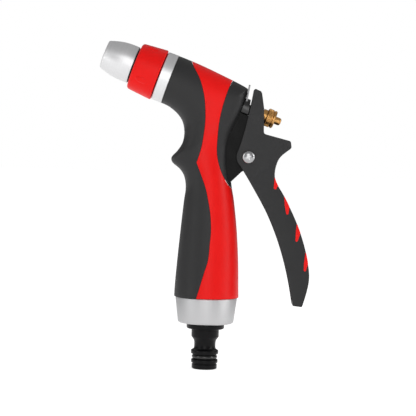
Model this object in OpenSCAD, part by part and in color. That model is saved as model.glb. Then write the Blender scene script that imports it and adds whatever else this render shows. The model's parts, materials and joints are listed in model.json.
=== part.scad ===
// Pistol-grip garden spray gun with a rear trigger, an adjusting nut and a twist head.
// Millimetres. The origin is the centre of the hose connector's lower end. +Z runs up the
// handle, the jet leaves towards -X, and Y = 0 is the plane of symmetry.
// "s" is a distance along the barrel's axis, rearwards from the soft grip's front edge,
// and "h" is a distance from that axis, upwards.

/* [Hose connector] */
// Outer radius of the spigot that a hose coupling grips
spigot_r = 7.9; // [7.4:0.1:8.4]
// Radius of the water bore through the connector
inlet_r = 4.75; // [3.5:0.05:5.25]
// Length of the spigot's plain lower end
spigot_end = 5; // [3.5:0.5:7]
// Height of the connector below its flange
connector_h = 25.5; // [22:0.5:32]
// Radius of the connector's flange
flange_r = 11.8; // [10.5:0.1:13.5]
// Thickness of the flange
flange_t = 3; // [2:0.5:5]

/* [Handle] */
// Radius of the soft grip at its lower edge
grip_base_r = 20.2; // [17:0.1:24]
// Radius of the metal collar under the grip
collar_r = 19.3; // [16.5:0.1:22]
// Height of the collar
collar_h = 15.4; // [10:0.2:20]
// Length of the handle from the collar to the neck
handle_len = 67; // [54:1:90]
// Half the width of the handle at its middle, side to side
handle_half_w = 16.4; // [14:0.1:20]
// Radius of the waterway in the handle
waterway_r = 5.6; // [4:0.1:6.5]

/* [Barrel] */
// Tilt of the barrel above the horizontal, in degrees
barrel_tilt = 19.5; // [14:0.5:25]
// Radius of the barrel at the soft grip's front edge
barrel_r = 15.6; // [14.4:0.1:18]
// Length of the barrel from the grip's front edge to its rear face
barrel_len = 48; // [44:0.5:52]
// Width of the bright band in front of the grip
band_w = 7; // [4:0.5:10]
// Radius of the body's tube under the band and the grip
tube_r = 11.2; // [10:0.1:12.5]
// Radius of the valve chamber
chamber_r = 7.6; // [6.5:0.1:8.5]

/* [Twist head] */
// Length of the red twist ring
ring_len = 16.4; // [12:0.2:22]
// Radius of the twist ring at its front
ring_front_r = 14.9; // [14:0.1:17]
// Radius of the twist ring at its rear
ring_rear_r = 16.2; // [15:0.1:18.5]
// Length of the aluminium tip in front of the ring
tip_len = 18; // [12:0.5:26]
// Radius of the tip's front face
tip_front_r = 8.9; // [7:0.1:10.5]
// Radius of the tip at its rear
tip_rear_r = 11.7; // [10.8:0.1:12.6]
// Radius of the hole that the jet leaves by
outlet_r = 3; // [2.5:0.1:4]

/* [Valve stem] */
// Radius of the brass stem
stem_r = 2.4; // [2:0.1:3]
// Radius of the knurled adjusting nut
nut_r = 5.75; // [4.8:0.05:6.5]
// Length of the adjusting nut
nut_len = 5.8; // [4.5:0.1:8]
// Travel of the adjusting nut along the stem
nut_travel = 3.2; // [1.6:0.1:3.6]
// Radius of the spring's wire
wire_r = 0.5; // [0.3:0.05:0.7]
// Number of turns in the valve spring
spring_turns = 7; // [5:1:9]

/* [Trigger] */
// Width of the trigger over its two cheeks
trigger_w = 20; // [17:0.5:25]
// Thickness of one cheek
cheek_t = 2.4; // [1.8:0.1:3]
// Drop of the lever from its pivot to its tip
lever_drop = 92; // [78:1:104]
// Radius of the pivot screw's shank
pivot_r = 2.5; // [2:0.1:3]
// Radius of the pivot screw's domed head
screw_head_r = 4; // [3.5:0.1:5]
// Full stroke of the trigger, in degrees
stroke = 18; // [12:1:18]

/* [Fits] */
// Radial clearance of a running fit
run_gap = 0.05; // [0.02:0.01:0.1]
// Gap between a soft moulding and the body inside it
mould_gap = 0.15; // [0.1:0.05:0.3]
// Width of the seam between two soft mouldings
seam = 0.12; // [0.08:0.02:0.3]
// Gap between two assembled faces that stay apart
face_gap = 0.1; // [0.05:0.05:0.2]

/* [Hidden] */

$fn = 64;
far = 200;

// Heights up the handle
flange_top = connector_h + flange_t;
seal_t = 1.3;
collar_z = flange_top + face_gap + seal_t;
grip_z = collar_z + collar_h + face_gap;
neck_z = grip_z + handle_len;
tail_r = collar_r - 6.3;
thread_r = tail_r - 3.4;
// The body's shoulder inside the grips' foot, which leaves them a ring of the collar to rest on
shoulder_r = min(grip_base_r - 4, collar_r - 3.1);
thread_top = collar_z + 12;

// The barrel's reference point, where its axis meets the grip's front edge
barrel_x = -26.4;
barrel_z = neck_z + 67.8;

// The trigger's pivot, and where the stem's axis passes closest to it
pivot_x = 23.5;
pivot_z = neck_z + 21;
dx = pivot_x - barrel_x;
dz = pivot_z - barrel_z;
pivot_s = dx * cos(barrel_tilt) - dz * sin(barrel_tilt);
arm_r = -(dx * sin(barrel_tilt) + dz * cos(barrel_tilt));

// The trigger pushes the stem with two round pads that start half a stroke short of the
// perpendicular and end half a stroke past it, so that they push it almost evenly
pad_r = 2.9;
pad_s = pivot_s - arm_r * sin(stroke / 2);
push_s = pad_s + pad_r + face_gap;

// Stations along the barrel
band_front = -band_w;
ring_rear = band_front - 0.4;
ring_front = ring_rear - ring_len;
tip_rear = ring_front - 1.4;
tip_front = tip_rear - tip_len;
outlet_r_in = 6.4;
spigot_front = ring_front + 3;
seat_s = 0;
seat_t = 3;
seal_s = seat_s + seat_t + face_gap;
plug_seal_t = 2.2;
plug_s = seal_s + plug_seal_t;
plug_t = 3;
gland_front = barrel_len - 10;
spring_front = plug_s + plug_t;
spring_rear = gland_front - 1;
nut_front = push_s + 2.7;
nut_rear = nut_front + nut_len;
stem_rear = nut_rear + nut_travel + 0.7;
flange_end = barrel_len + 0.1;
plate_t = 0.9;

// The lug fits between the trigger's cheeks
lug_w = trigger_w - 2 * cheek_t - 2;
// Radii inside the twist head and the neck
head_tube_r = 9.3;
sleeve_r = 13;
head_r = head_tube_r + run_gap;
head_oring_s = ring_front + 7;
neck_tube_r = 8.8;
core_rear = barrel_len - 2;
nose_r = 3.3;

function lerp(a, b, u) = a + (b - a) * u;
function catmull(a, b, c, d, u) =
    0.5 * (2 * b + (c - a) * u + (2 * a - 5 * b + 4 * c - d) * u * u
        + (3 * b - a - 3 * c + d) * u * u * u);
// A smooth open curve through every point of a list, with n steps between two points
function curve(p, n) = concat(
    [for (i = [0:len(p) - 2]) for (k = [0:n - 1])
        catmull(p[max(i - 1, 0)], p[i], p[i + 1], p[min(i + 2, len(p) - 1)], k / n)],
    [p[len(p) - 1]]);
// A point given along and above the barrel's axis, as [x, z]
function on_axis(s, h) = [
    barrel_x + s * cos(barrel_tilt) + h * sin(barrel_tilt),
    barrel_z - s * sin(barrel_tilt) + h * cos(barrel_tilt)];
// A point given from the neck's height, and one given as a share of the handle's length
function at_neck(x, z) = [x, neck_z + z];
function at_handle(x, u) = [x, grip_z + u * handle_len];
// A point on the trigger, given from its pivot, with all below the pivot set by the drop
function on_trigger(x, z) = [pivot_x + x, pivot_z + (z < 0 ? z * lever_drop / 92 : z)];

module along_barrel(s) {
    translate([barrel_x, 0, barrel_z])
        rotate([0, 90 + barrel_tilt, 0])
            translate([0, 0, s])
                children();
}

module side_plate(width) {
    rotate([90, 0, 0])
        linear_extrude(width, center = true)
            children();
}

module tube(outer_r, inner_r, length) {
    difference() {
        cylinder(r = outer_r, h = length);
        translate([0, 0, -1])
            cylinder(r = inner_r, h = length + 2);
    }
}

module ring_of(radius, cord_r) {
    rotate_extrude()
        translate([radius, 0])
            circle(r = cord_r, $fn = 32);
}

// The soft grip's form: slices from the barrel's front edge round the neck and down the
// handle, each with its front point, its rear point, half its width and its squareness
SLICES = [
    [on_axis(0, -barrel_r), on_axis(0, barrel_r), barrel_r, 2],
    [on_axis(3.4, -barrel_r - 0.15), on_axis(4.6, barrel_r - 0.02), barrel_r - 0.08, 2],
    [on_axis(6.6, -barrel_r - 0.75), on_axis(9.5, barrel_r - 0.12), barrel_r - 0.2, 2],
    [at_neck(-21.6, 46.9), on_axis(18, barrel_r - 0.5), barrel_r - 0.8, 2],
    [at_neck(-18.6, 42.9), on_axis(28, barrel_r - 1.3), barrel_r - 1.6, 2.1],
    [at_neck(-17.3, 39.2), on_axis(38, barrel_r - 2.2), barrel_r - 2.3, 2.4],
    [at_neck(-16.9, 36.4), on_axis(barrel_len - 1.8, barrel_r - 3.3), barrel_r - 2.7, 2.8],
    [at_neck(-16.8, 35), on_axis(barrel_len - 0.5, barrel_r - 4.6), barrel_r - 2.8, 3],
    [at_neck(-16.9, 33), on_axis(barrel_len + 0.4, barrel_r - 9), barrel_r - 2.9, 3],
    [at_neck(-17.2, 30.8), on_axis(barrel_len + 0.9, barrel_r - 14.5), barrel_r - 3, 3],
    [at_neck(-18.2, 27.7), on_axis(barrel_len + 0.5, barrel_r - 20.5), barrel_r - 3, 3],
    [at_neck(-20.8, 23.6), on_axis(barrel_len, barrel_r - 27), barrel_r - 2.9, 2.7],
    [at_neck(-24.3, 19.6), at_neck(13.4, 36), barrel_r - 2.7, 2.4],
    [at_neck(-23.6, 16.2), at_neck(12.2, 29.5), barrel_r - 2.6, 2.1],
    [at_neck(-19.2, 12.6), at_neck(12, 22), barrel_r - 2.5, 2],
    [at_neck(-16.4, 8.6), at_neck(12, 14), barrel_r - 2.2, 2],
    [at_neck(-15.2, 4), at_neck(13.2, 6.2), barrel_r - 1.8, 2],
    [at_neck(-15, -1), at_neck(14.2, 0), barrel_r - 1.4, 2],
    [at_handle(-15.8, 0.89), at_handle(15.6, 0.89), handle_half_w - 1.6, 2],
    [at_handle(-17.4, 0.62), at_handle(17.9, 0.62), handle_half_w, 2],
    [at_handle(-19, 0.32), at_handle(19.4, 0.32), lerp(handle_half_w, grip_base_r, 0.45), 2],
    [at_handle(-grip_base_r + 0.3, 0.12), at_handle(grip_base_r - 0.3, 0.12),
        lerp(handle_half_w, grip_base_r, 0.85), 2],
    [at_handle(-grip_base_r, 0), at_handle(grip_base_r, 0), grip_base_r, 2]
];
slice_sides = 32;
slice_steps = 2;

function power(v, n) = sign(v) * pow(abs(v), 2 / n);
function slice_ring(s) = [for (k = [0:slice_sides - 1])
    let (a = 360 * k / slice_sides,
        mid = (s[0] + s[1]) / 2,
        reach = (s[1] - s[0]) / 2 * power(cos(a), s[3]))
    [mid[0] + reach[0], s[2] * power(sin(a), s[3]), mid[1] + reach[1]]];

module grip_form() {
    slices = curve(SLICES, slice_steps);
    rings = [for (s = slices) each slice_ring(s)];
    n = slice_sides;
    last = (len(slices) - 1) * n;
    walls = [for (i = [0:len(slices) - 2]) for (k = [0:n - 1])
        let (a = i * n + k, b = i * n + (k + 1) % n)
        each [[a, b, a + n], [b, b + n, a + n]]];
    front = [for (k = [0:n - 1]) n - 1 - k];
    foot = [for (k = [0:n - 1]) last + k];
    polyhedron(rings, concat(walls, [front, foot]));
}

// The body's tube along the handle, grown by a gap where it is used as a cutter
module handle_tube(gap) {
    rotate_extrude()
        polygon([
            [0, collar_z + face_gap], [tail_r + gap, collar_z + face_gap],
            [tail_r + gap, grip_z - gap], [shoulder_r + gap, grip_z - gap],
            [handle_half_w - 3.4 + gap, grip_z + 0.6 * handle_len],
            [neck_tube_r + gap, neck_z + 2], [neck_tube_r + gap, neck_z + 52 + gap],
            [0, neck_z + 52 + gap]
        ]);
}

// The body's tube along the barrel, which narrows towards the gland
module barrel_tube(gap) {
    along_barrel(0)
        rotate_extrude()
            polygon([
                [0, band_front + face_gap], [tube_r + gap, band_front + face_gap],
                [tube_r + gap, barrel_len - 24], [chamber_r + 1.8 + gap, barrel_len - 10],
                [chamber_r + 1.8 + gap, core_rear + gap], [0, core_rear + gap]]);
}

// The lug that carries the trigger's pivot, in the side view
module lug_outline(gap) {
    offset(delta = gap)
        polygon(concat(
            [at_neck(4, 8), at_neck(13.2, 5.4), at_neck(19.6, 11.8)],
            [for (a = [-40:20:60]) [pivot_x + 7.2 * cos(a), pivot_z + 7.2 * sin(a)]],
            [at_neck(24.8, 38), on_axis(barrel_len + 5, -3.6), on_axis(barrel_len - 12, -3.6)]));
}

module body_core() color("dimgray") {
    difference() {
        union() {
            handle_tube(0);
            barrel_tube(0);
            side_plate(lug_w)
                lug_outline(0);
            along_barrel(spigot_front)
                cylinder(r = head_tube_r, h = band_front - spigot_front + 1);
        }
        // Waterway up the handle, with the connector's thread and washer at its foot
        translate([0, 0, collar_z - 1])
            cylinder(r = waterway_r, h = neck_z + 58 - collar_z);
        translate([0, 0, collar_z - 1])
            cylinder(r = thread_r + run_gap, h = thread_top + 2 + 1 - collar_z);
        // Outlet, valve chamber and the gland's seat
        along_barrel(spigot_front - 1)
            cylinder(r = 6, h = far / 2);
        along_barrel(spigot_front - 1)
            cylinder(r = 7.2 + run_gap, h = 4);
        along_barrel(seat_s)
            cylinder(r = chamber_r, h = far / 2);
        // Pivot bore
        translate([pivot_x, 0, pivot_z])
            rotate([90, 0, 0])
                cylinder(r = pivot_r + run_gap, h = trigger_w * 2, center = true);
    }
}

module front_band() color("silver") {
    along_barrel(band_front)
        rotate_extrude()
            polygon([
                [tube_r + run_gap, 0.1], [barrel_r - 0.5, 0.1], [barrel_r, 0.5],
                [barrel_r + 0.1, band_w - 0.2], [tube_r + run_gap, band_w - 0.2]]);
}

module base_collar() color("silver") {
    corner = 2.2;
    rotate_extrude()
        polygon(concat(
            [[tail_r + run_gap, collar_z]],
            [for (a = [-90:15:0]) [
                collar_r - 1.8 - corner + corner * cos(a), collar_z + corner + corner * sin(a)]],
            [[collar_r, collar_z + collar_h - 0.6], [collar_r - 0.5, collar_z + collar_h],
                [tail_r + run_gap, collar_z + collar_h]]));
}

module base_seal() color("black") {
    translate([0, 0, flange_top + face_gap / 2])
        tube(flange_r + 1.1, thread_r + 0.3, seal_t);
}

// The red stripe's two edges in the side view, each running downwards
STRIPE_FRONT = concat(
    curve([
        on_axis(5, barrel_r + 8), on_axis(8.5, barrel_r - 0.5), on_axis(17, 6.8),
        on_axis(21.7, 0.6), on_axis(25.4, -5.9), at_neck(-3.9, 42.9), at_neck(-4.9, 32),
        at_neck(-6.2, 24.6), at_neck(-8.6, 16.7)], 3),
    curve([
        at_neck(-8.2, 15.7), at_neck(-4.2, 5.9), at_neck(-1.8, -1.4), at_handle(0.8, 0.79),
        at_handle(1.6, 0.63), at_handle(1.2, 0.52), at_handle(0.4, 0.36),
        at_handle(-1.8, 0.24), at_handle(-6.3, 0), at_handle(-8, -0.08)], 3));
STRIPE_REAR = curve([
    on_axis(37.5, barrel_r + 8), on_axis(36.4, barrel_r - 2.1), on_axis(35.9, 7.5),
    on_axis(36.2, -1.7), at_neck(5.2, 45.3), at_neck(4.2, 36.5), at_neck(3.8, 24.8),
    at_neck(4.7, 18.3), at_neck(6.6, 12.2), at_neck(9.4, 6.6), at_neck(13.5, 1.4),
    at_neck(grip_base_r + 4, -5)], 3);

// The stripe, what lies in front of it and what lies behind it
module stripe_region() {
    polygon(concat(
        STRIPE_FRONT, [at_handle(grip_base_r + 4, -0.08)],
        [for (k = [len(STRIPE_REAR) - 1:-1:0]) STRIPE_REAR[k]]));
}

module front_region() {
    polygon(concat(STRIPE_FRONT, [at_handle(-60, -0.08), [-60, barrel_z + 40]]));
}

module rear_region() {
    polygon(concat(STRIPE_REAR, [[grip_base_r + 20, neck_z], [grip_base_r + 20, barrel_z + 30]]));
}

// One soft moulding: the part of the grip's form in a region, hollow for the body
module soft_shell() {
    difference() {
        intersection() {
            grip_form();
            side_plate(far)
                offset(delta = -seam / 2)
                    children();
        }
        handle_tube(mould_gap);
        barrel_tube(mould_gap);
        side_plate(lug_w + 2 * mould_gap)
            lug_outline(mould_gap);
        along_barrel(barrel_len - 11)
            cylinder(r = chamber_r + 0.6, h = 50);
        plate_form(mould_gap, 3);
    }
}

module grip_front() color("#3a3a3a") {
    soft_shell()
        front_region();
}

module grip_red() color("#e01b16") {
    soft_shell()
        stripe_region();
}

module grip_rear() color("#3a3a3a") {
    soft_shell()
        rear_region();
}

module hose_connector() color("#202020") {
    rib = 8.2;
    neck = 6.6;
    rotate_extrude()
        polygon([
            [inlet_r, 0], [spigot_r - 0.8, 0], [spigot_r, 0.8], [spigot_r, spigot_end],
            [rib, spigot_end + 0.2], [rib, spigot_end + 1.8], [neck, spigot_end + 2],
            [neck, spigot_end + 4.4], [rib + 0.2, spigot_end + 4.6],
            [rib + 0.2, spigot_end + 6.8], [neck, spigot_end + 7.4], [neck, connector_h - 8.6],
            [neck + 2, connector_h - 5.6], [neck + 2, connector_h - 0.4],
            [flange_r - 0.4, connector_h], [flange_r, connector_h + 0.5],
            [flange_r, flange_top], [thread_r, flange_top], [thread_r, thread_top],
            [inlet_r, thread_top]]);
}

module connector_oring() color("black") {
    translate([0, 0, spigot_end + 3.2])
        ring_of(7.7, 1);
}

module connector_washer() color("#303030") {
    translate([0, 0, thread_top + face_gap])
        tube(thread_r - face_gap, waterway_r, 2 - 2 * face_gap);
}

module gland_nut() color("#262626") {
    along_barrel(0)
        rotate_extrude()
            polygon([
                [stem_r + run_gap, gland_front], [chamber_r - run_gap, gland_front],
                [chamber_r - run_gap, flange_end], [nose_r, flange_end],
                [nose_r, barrel_len + 5.5], [stem_r + run_gap, barrel_len + 5.5],
                [stem_r + run_gap, gland_front + 6.4], [stem_r + 1.9, gland_front + 6.4],
                [stem_r + 1.9, gland_front + 4.4], [stem_r + run_gap, gland_front + 4.4]]);
}

module gland_oring() color("black") {
    along_barrel(gland_front + 5.4)
        ring_of(stem_r + 0.92, 0.88);
}

// The rear face of the steel plate, as a distance along the barrel at a height h
function plate_face(h) = barrel_len + 2.4 - 0.18 * h;

// A thin plate on the gland's nose, which leans along the grip's rear face and stands above
// it. The room for it in the grip has a gap all round and is open to the rear.
module plate_form(gap, open_rear) {
    half_w = 4.5;
    top = barrel_r - 0.8;
    foot = -2.2;
    intersection() {
        side_plate(2 * (half_w + gap))
            offset(delta = gap)
                polygon([
                    on_axis(plate_face(foot) - plate_t, foot),
                    on_axis(plate_face(foot) + open_rear, foot),
                    on_axis(plate_face(top) + open_rear, top),
                    on_axis(plate_face(top) - plate_t, top)]);
        along_barrel(0)
            cylinder(r = top + gap, h = far / 2);
    }
}

module rear_plate() color("lightgray") {
    difference() {
        plate_form(0, 0);
        along_barrel(0)
            cylinder(r = nose_r + run_gap, h = far / 2);
    }
}

// A rubber boot round the gland's nose, which keeps spray out and holds the plate in a slot
module dust_boot() color("#202020") {
    boot_r = chamber_r - 1.2;
    difference() {
        intersection() {
            side_plate(far)
                polygon([
                    on_axis(flange_end + face_gap, 10), on_axis(flange_end + face_gap, -10),
                    on_axis(plate_face(-10) + 2, -10), on_axis(plate_face(10) + 2, 10)]);
            along_barrel(0)
                cylinder(r = boot_r, h = far / 2);
        }
        along_barrel(0)
            cylinder(r = nose_r + run_gap, h = far / 2);
        plate_form(face_gap, 0);
    }
}

module valve_seat() color("ivory") {
    along_barrel(seat_s + face_gap / 2)
        tube(chamber_r - run_gap, 4.6, seat_t - face_gap);
}

// The return spring: closed rings on a cylinder stand for its helix
module valve_spring() color("lightgray") {
    pitch = (spring_rear - spring_front - 2 * wire_r - 0.2) / (spring_turns - 1);
    along_barrel(spring_front + wire_r + 0.1)
        for (k = [0:spring_turns - 1])
            translate([0, 0, k * pitch])
                ring_of(5.2, wire_r);
}

module spring_washer() color("silver") {
    along_barrel(spring_rear + face_gap / 2)
        tube(chamber_r - 0.3, stem_r + 0.3, 1 - face_gap);
}

// The fixed pin on the jet's axis, with a ring on three arms that sits in the spigot
module spray_pin() color("ivory") {
    pin_front = tip_front + 1.2;
    along_barrel(0) {
        translate([0, 0, spigot_front])
            tube(7.2, 5.9, 3);
        for (a = [30, 150, 270])
            rotate(a)
                translate([1, -0.6, spigot_front + 0.2])
                    cube([5.6, 1.2, 2.6]);
        rotate_extrude()
            polygon([
                [0, pin_front], [1.4, pin_front], [2.3, pin_front + 1.6], [1.5, pin_front + 5],
                [1.8, spigot_front + 3], [0, spigot_front + 3]]);
    }
}

module valve_stem() color("#b88746") {
    tip_r = 1.9;
    along_barrel(0)
        rotate_extrude()
            polygon(concat(
                [[0, seat_s - 4.2], [tip_r, seat_s - 4.2], [tip_r, plug_s + plug_t],
                    [stem_r, plug_s + plug_t]],
                [for (a = [0:15:90]) [
                    stem_r - 1.4 + 1.4 * cos(a), stem_rear - 1.4 + 1.4 * sin(a)]],
                [[0, stem_rear]]));
}

module plug_disc() color("#b88746") {
    along_barrel(plug_s + 0.02)
        tube(6.9, 1.9, plug_t - 0.04);
}

module plug_seal() color("black") {
    along_barrel(seal_s)
        tube(6.6, 1.9, plug_seal_t - 0.02);
}

module plug_nut() color("#b88746") {
    along_barrel(seat_s - 3)
        difference() {
            cylinder(r = 3.8, h = seal_s - seat_s + 3 - 0.04, $fn = 6);
            translate([0, 0, -1])
                cylinder(r = 1.9, h = 12);
        }
}

module thrust_washer() color("#b88746") {
    along_barrel(push_s)
        tube(4.3, stem_r + run_gap, nut_front - push_s - 0.05);
}

// The knurled nut: a thick ring, a groove and a thinner ring, with flutes all round
module adjusting_nut() color("#b88746") {
    flutes = 20;
    along_barrel(nut_front)
        difference() {
            rotate_extrude()
                polygon([
                    [stem_r + run_gap, 0], [nut_r - 0.7, 0], [nut_r, 0.6],
                    [nut_r, 0.55 * nut_len], [nut_r - 1, 0.6 * nut_len],
                    [nut_r - 1, 0.68 * nut_len], [nut_r, 0.73 * nut_len],
                    [nut_r, nut_len - 0.5], [nut_r - 0.5, nut_len],
                    [stem_r + run_gap, nut_len]]);
            for (k = [0:flutes - 1])
                rotate(360 * k / flutes)
                    translate([nut_r + 0.15, 0, -1])
                        cylinder(r = 0.5, h = nut_len + 2, $fn = 16);
        }
}

// The trigger in the side view: front edge upwards, arm, spur, and rear edge downwards
module trigger_outline() {
    front_edge = curve([
        on_trigger(30.4, -91.5), on_trigger(27.9, -78.4), on_trigger(24.1, -63.6),
        on_trigger(19, -48.8), on_trigger(12.4, -34.1), on_trigger(3.9, -19.4),
        on_trigger(-2.8, -8.6)], 3);
    cheek = [for (a = [228:-16:164]) [pivot_x + 7.3 * cos(a), pivot_z + 7.3 * sin(a)]];
    arm = [
        on_trigger(-4.7, 8.8), on_trigger(-2.2, 18.4), on_trigger(1.4, 35.7),
        on_trigger(2.4, 41.9), on_trigger(3.2, 42.3), on_trigger(6.5, 40.9),
        on_trigger(7.2, 39.6), on_trigger(8.7, 30.5), on_trigger(9, 16), on_trigger(9.4, 14.9),
        on_trigger(10.4, 14.4)];
    spur = [
        on_trigger(24.4, 11), on_trigger(25.4, 10.7), on_trigger(26, 9.9), on_trigger(26.4, 7),
        on_trigger(26, 6)];
    rear_edge = curve([
        on_trigger(25.4, 5.5), on_trigger(19.9, 0.8), on_trigger(17.4, -4.4),
        on_trigger(16.6, -11), on_trigger(18.3, -16.2), on_trigger(23, -23.8),
        on_trigger(30.5, -38.5), on_trigger(36.1, -53.3), on_trigger(39.4, -67.5),
        on_trigger(39.7, -77.5), on_trigger(36.6, -90.4), on_trigger(35.4, -92)], 3);
    polygon(concat(front_edge, cheek, arm, spur, rear_edge));
}

// What is hollow between the cheeks, open towards the handle
module trigger_hollow() {
    wall = 4.2;
    difference() {
        translate([-wall, 0])
            trigger_outline();
        polygon([
            on_trigger(-30, 43), on_trigger(-30, 46), on_trigger(30, 46), on_trigger(30, 39),
            on_trigger(2, 39)]);
        polygon([
            on_trigger(-30, -93), on_trigger(50, -93), on_trigger(50, -89), on_trigger(-30, -89)]);
    }
    // Room for the lug, which the cheeks straddle
    translate([pivot_x, pivot_z])
        circle(r = 9.5);
}

module trigger_lever() color("#333333") {
    inner_w = trigger_w - 2 * cheek_t;
    slot_w = 2 * stem_r + 0.7;
    difference() {
        union() {
            difference() {
                side_plate(trigger_w)
                    trigger_outline();
                side_plate(inner_w)
                    trigger_hollow();
                // Clear of the pads' plane behind the arm
                along_barrel(pad_s + 0.6)
                    translate([-7, -5.4, 0])
                        cube([14, 10.8, 20]);
            }
            // Round pads that push the thrust washer
            intersection() {
                along_barrel(pad_s)
                    translate([arm_r - arm_r * cos(stroke / 2), 0, 0])
                        rotate([90, 0, 0])
                            cylinder(r = pad_r, h = inner_w + 1, center = true);
                side_plate(trigger_w)
                    trigger_outline();
            }
            along_barrel(pad_s)
                translate([-6, -inner_w / 2 - 0.5, -1.6])
                    cube([11, inner_w + 1, 2]);
        }
        // Slot that the stem passes through
        along_barrel(pad_s)
            translate([-4.2, -slot_w / 2, -8])
                cube([8.4, slot_w, 30]);
        translate([pivot_x, 0, pivot_z])
            rotate([90, 0, 0])
                cylinder(r = pivot_r + 1, h = 2 * trigger_w, center = true);
    }
}

// Red inlays in the lever's rear edge, each given in the side view as its upper end, its
// front side, its lower end and its rear side
INLAYS = [
    [[16.6, -12.4], [16.2, -18.8], [17, -19.6], [18.2, -17.6]],
    [[22.9, -23.8], [23.3, -28.8], [24.9, -34.9], [26.3, -29.6]],
    [[31.2, -40.7], [30.7, -46.3], [31.2, -51.6], [33.5, -46.1]],
    [[37.2, -58.4], [36.4, -65], [36.9, -69.8], [39, -64.4]]
];

module trigger_inlays() color("#e01b16") {
    intersection() {
        side_plate(trigger_w - 1)
            difference() {
                offset(delta = 0.25)
                    trigger_outline();
                offset(delta = 0.02)
                    trigger_outline();
            }
        for (bar = INLAYS)
            side_plate(trigger_w - 1)
                polygon([
                    on_trigger(bar[0][0] - 0.2, bar[0][1]), on_trigger(bar[1][0], bar[1][1]),
                    on_trigger(bar[2][0], bar[2][1]), on_trigger(bar[3][0], bar[3][1]),
                    on_trigger(bar[3][0] + 1, bar[3][1] + 1), on_trigger(bar[0][0] + 1, bar[0][1] + 1)]);
    }
}

module pivot_screw() color("lightgray") {
    head_y = trigger_w / 2 + 0.3;
    dome = 2;
    dome_r = (screw_head_r * screw_head_r + dome * dome) / (2 * dome);
    translate([pivot_x, 0, pivot_z])
        rotate([90, 0, 0]) {
            cylinder(r = pivot_r, h = head_y);
            intersection() {
                translate([0, 0, head_y + dome - dome_r])
                    sphere(r = dome_r);
                translate([0, 0, head_y])
                    cylinder(r = screw_head_r, h = dome + 1);
            }
        }
}

module pivot_nut() color("lightgray") {
    head_y = trigger_w / 2 + 0.3;
    translate([pivot_x, 0, pivot_z])
        rotate([-90, 0, 0]) {
            translate([0, 0, face_gap])
                cylinder(r = pivot_r, h = head_y - face_gap);
            translate([0, 0, head_y])
                cylinder(r1 = screw_head_r, r2 = screw_head_r - 1, h = 1.6);
        }
}

// Flanged bushes: the trigger turns on them, one in each cheek
module pivot_bushes() color("ivory") {
    for (side = [-1, 1])
        translate([pivot_x, side * (trigger_w / 2 - cheek_t / 2), pivot_z])
            rotate([90, 0, 0])
                difference() {
                    cylinder(r = pivot_r + 1 - 0.02, h = cheek_t, center = true);
                    cylinder(r = pivot_r + run_gap, h = cheek_t + 2, center = true);
                }
}

module nozzle_tip() color("silver") {
    bulge = 1.1;
    along_barrel(0)
        rotate_extrude()
            polygon(concat(
                [[outlet_r, tip_front + 2.2], [outlet_r, tip_front + 0.8],
                    [outlet_r + 1.6, tip_front], [tip_front_r - 0.5, tip_front]],
                [for (u = [0:0.125:1]) [
                    lerp(tip_front_r, tip_rear_r, u) + bulge * sin(180 * u),
                    lerp(tip_front + 0.4, tip_rear, u)]],
                [[head_r + 1.4, tip_rear], [head_r + 1.4, tip_rear + 6],
                    [head_r, tip_rear + 6], [head_r, spigot_front - 0.3],
                    [outlet_r_in, spigot_front - 0.3], [outlet_r_in, tip_front + 6]]));
}

module head_sleeve() color("#262626") {
    groove = 1.7;
    along_barrel(0)
        rotate_extrude()
            polygon([
                [head_r + 1.45, tip_rear + 0.3], [tip_rear_r - 0.6, tip_rear + 0.3],
                [tip_rear_r - 0.6, ring_front - 0.2], [sleeve_r, ring_front + 0.4],
                [sleeve_r, ring_rear], [head_r, ring_rear], [head_r, head_oring_s + groove],
                [head_r + 1.6, head_oring_s + groove], [head_r + 1.6, head_oring_s - groove],
                [head_r, head_oring_s - groove], [head_r, tip_rear + 6.2],
                [head_r + 1.45, tip_rear + 6.2]]);
}

module head_oring() color("black") {
    along_barrel(head_oring_s)
        ring_of(head_tube_r + run_gap / 2 + 0.8, 0.78);
}

module twist_ring() color("#e01b16") {
    corner = 1.6;
    along_barrel(0)
        rotate_extrude()
            polygon(concat(
                [[sleeve_r + 0.02, ring_front + 0.4]],
                [for (a = [-90:15:0]) [
                    ring_front_r - corner + corner * cos(a),
                    ring_front + corner + corner * sin(a)]],
                [[ring_rear_r, ring_rear - 0.6], [ring_rear_r - 0.6, ring_rear],
                    [sleeve_r + 0.02, ring_rear]]));
}

body_core();
front_band();
base_collar();
base_seal();
grip_front();
grip_red();
grip_rear();
hose_connector();
connector_oring();
connector_washer();
gland_nut();
gland_oring();
rear_plate();
dust_boot();
valve_seat();
valve_spring();
spring_washer();
spray_pin();
valve_stem();
plug_disc();
plug_seal();
plug_nut();
thrust_washer();
adjusting_nut();
trigger_lever();
trigger_inlays();
pivot_screw();
pivot_nut();
pivot_bushes();
nozzle_tip();
twist_ring();
head_sleeve();
head_oring();
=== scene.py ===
"""Pistol-grip spray gun: soft grips, trigger, twist head and fittings, shaped and finished
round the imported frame. Lengths in the settings are metres; MM turns the millimetres that
are written in the code into metres."""

import json
import math

import bpy
from mathutils import Matrix, Vector


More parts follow.
